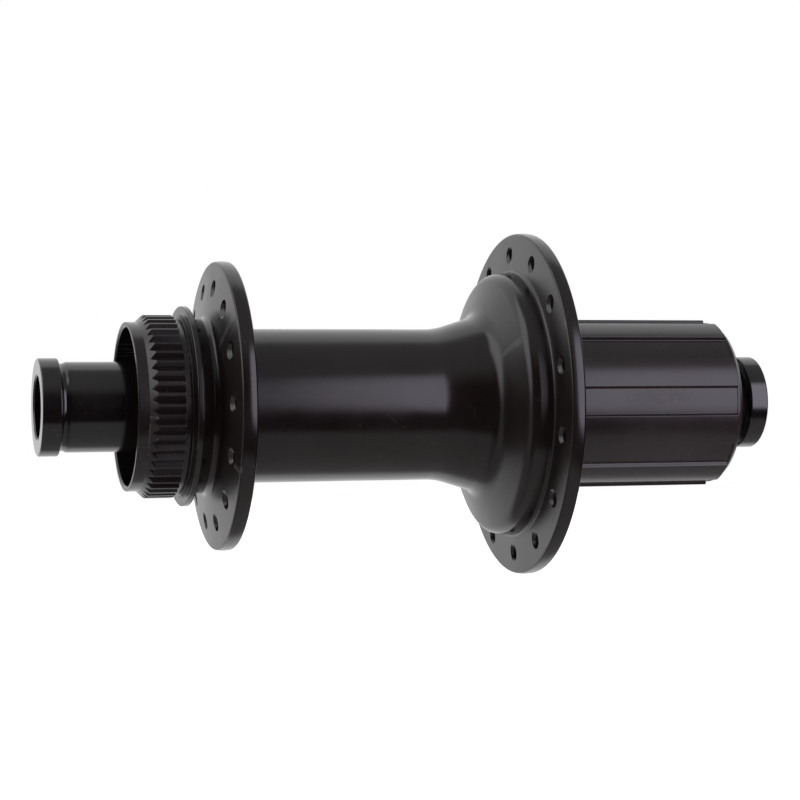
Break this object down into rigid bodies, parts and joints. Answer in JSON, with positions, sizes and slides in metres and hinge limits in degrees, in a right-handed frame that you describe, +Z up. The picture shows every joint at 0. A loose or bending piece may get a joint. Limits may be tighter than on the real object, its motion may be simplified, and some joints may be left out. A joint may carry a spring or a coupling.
{
  "type": "bicycle rear hub",
  "caption": "Rear bicycle hub: flanged shell with a splined rotor mount, a splined freehub body on sealed bearings and a pawl ratchet, and pull-off end caps for a thru-axle.",
  "frame": {"origin": "the middle of the hub on its axis, halfway between the two dropout faces", "axes": "+X along the axis to the drive side, +Y forward on a bicycle that faces +Y, +Z up"},
  "size_m": [0.148, 0.0688, 0.0688],
  "materials": {
    "anodised_black": "black anodised, fine satin with a soft sheen",
    "raw_aluminium": "turned, uncoated",
    "ratchet_steel": "hardened and machined, lightly oiled",
    "spring_steel": "blued strip",
    "bearing_steel": "ground",
    "ball_set_steel": "polished balls in a pressed cage",
    "seal_rubber": "moulded, matt",
    "black_rubber": "moulded, greased"
  },
  "bodies": {
    "axle": {"axle_tube": "raw_aluminium", "inner_spacer": "raw_aluminium", "freehub_spacer": "raw_aluminium", "left_cap_o_ring": "black_rubber", "right_cap_o_ring": "black_rubber", "left_hub_inner_race": "bearing_steel", "right_hub_inner_race": "bearing_steel", "freehub_inner_inner_race": "bearing_steel", "freehub_outer_inner_race": "bearing_steel"},
    "shell": {"hub_shell": "anodised_black", "rotor_boss": "anodised_black", "drive_ring": "ratchet_steel", "left_hub_outer_race": "bearing_steel", "left_hub_left_seal": "seal_rubber", "left_hub_right_seal": "seal_rubber", "right_hub_outer_race": "bearing_steel", "right_hub_left_seal": "seal_rubber", "right_hub_right_seal": "seal_rubber"},
    "freehub": {"freehub_body": "anodised_black", "freehub_seal": "black_rubber", "circlip": "spring_steel", "freehub_inner_outer_race": "bearing_steel", "freehub_inner_left_seal": "seal_rubber", "freehub_inner_right_seal": "seal_rubber", "freehub_outer_outer_race": "bearing_steel", "freehub_outer_left_seal": "seal_rubber", "freehub_outer_right_seal": "seal_rubber", "pawl_spring_1": "spring_steel", "pawl_spring_2": "spring_steel", "pawl_spring_3": "spring_steel", "pawl_spring_4": "spring_steel", "pawl_spring_5": "spring_steel", "pawl_spring_6": "spring_steel"},
    "left_cap": {"left_end_cap": "anodised_black"},
    "right_cap": {"right_end_cap": "anodised_black"},
    "left_hub_balls": {"left_hub_ball_set": "ball_set_steel"},
    "right_hub_balls": {"right_hub_ball_set": "ball_set_steel"},
    "freehub_inner_balls": {"freehub_inner_ball_set": "ball_set_steel"},
    "freehub_outer_balls": {"freehub_outer_ball_set": "ball_set_steel"},
    "pawl_1": {"pawl_1": "ratchet_steel"},
    "pawl_2": {"pawl_2": "ratchet_steel"},
    "pawl_3": {"pawl_3": "ratchet_steel"},
    "pawl_4": {"pawl_4": "ratchet_steel"},
    "pawl_5": {"pawl_5": "ratchet_steel"},
    "pawl_6": {"pawl_6": "ratchet_steel"}
  },
  "joints": [
    {"name": "shell_spin", "type": "hinge", "parent": "axle", "child": "shell", "pos_m": [0, 0, 0], "axis": [-1, 0, 0], "continuous": true},
    {"name": "freehub_spin", "type": "hinge", "parent": "axle", "child": "freehub", "pos_m": [0.045, 0, 0], "axis": [-1, 0, 0], "continuous": true},
    {"name": "left_hub_balls_roll", "type": "hinge", "parent": "axle", "child": "left_hub_balls", "pos_m": [-0.0425, 0, 0], "axis": [-1, 0, 0], "continuous": true},
    {"name": "right_hub_balls_roll", "type": "hinge", "parent": "axle", "child": "right_hub_balls", "pos_m": [0.0146, 0, 0], "axis": [-1, 0, 0], "continuous": true},
    {"name": "freehub_inner_balls_roll", "type": "hinge", "parent": "axle", "child": "freehub_inner_balls", "pos_m": [0.03, 0, 0], "axis": [-1, 0, 0], "continuous": true},
    {"name": "freehub_outer_balls_roll", "type": "hinge", "parent": "axle", "child": "freehub_outer_balls", "pos_m": [0.054, 0, 0], "axis": [-1, 0, 0], "continuous": true},
    {"name": "pawl_1_tilt", "type": "hinge", "parent": "freehub", "child": "pawl_1", "pos_m": [0.0226, -0.0172, 0], "axis": [-1, 0, 0], "range_deg": [-6.5, 2], "stiffness_Nm_per_rad": 0.004, "springref_deg": -20.05, "deforming": ["pawl_spring_1"]},
    {"name": "pawl_2_tilt", "type": "hinge", "parent": "freehub", "child": "pawl_2", "pos_m": [0.0226, -0.00781, 0.01533], "axis": [-1, 0, 0], "range_deg": [-5, 2], "stiffness_Nm_per_rad": 0.004, "springref_deg": -20.05, "deforming": ["pawl_spring_2"]},
    {"name": "pawl_3_tilt", "type": "hinge", "parent": "freehub", "child": "pawl_3", "pos_m": [0.0226, 0.0086, 0.0149], "axis": [-1, 0, 0], "range_deg": [-6.5, 2], "stiffness_Nm_per_rad": 0.004, "springref_deg": -20.05, "deforming": ["pawl_spring_3"]},
    {"name": "pawl_4_tilt", "type": "hinge", "parent": "freehub", "child": "pawl_4", "pos_m": [0.0226, 0.01718, -0.0009], "axis": [-1, 0, 0], "range_deg": [-5, 2], "stiffness_Nm_per_rad": 0.004, "springref_deg": -20.05, "deforming": ["pawl_spring_4"]},
    {"name": "pawl_5_tilt", "type": "hinge", "parent": "freehub", "child": "pawl_5", "pos_m": [0.0226, 0.0086, -0.0149], "axis": [-1, 0, 0], "range_deg": [-6.5, 2], "stiffness_Nm_per_rad": 0.004, "springref_deg": -20.05, "deforming": ["pawl_spring_5"]},
    {"name": "pawl_6_tilt", "type": "hinge", "parent": "freehub", "child": "pawl_6", "pos_m": [0.0226, -0.00937, -0.01443], "axis": [-1, 0, 0], "range_deg": [-5, 2], "stiffness_Nm_per_rad": 0.004, "springref_deg": -20.05, "deforming": ["pawl_spring_6"]},
    {"name": "left_cap_pull", "type": "slide", "parent": "axle", "child": "left_cap", "axis": [-1, 0, 0], "range_m": [0, 0.0145]},
    {"name": "right_cap_pull", "type": "slide", "parent": "axle", "child": "right_cap", "axis": [1, 0, 0], "range_m": [0, 0.012]}
  ],
  "couplings": [
    {"joint": "left_hub_balls_roll", "follows": "shell_spin", "ratio": 0.5723},
    {"joint": "right_hub_balls_roll", "follows": "shell_spin", "ratio": 0.5723},
    {"joint": "freehub_inner_balls_roll", "follows": "freehub_spin", "ratio": 0.5596},
    {"joint": "freehub_outer_balls_roll", "follows": "freehub_spin", "ratio": 0.5596}
  ]
}
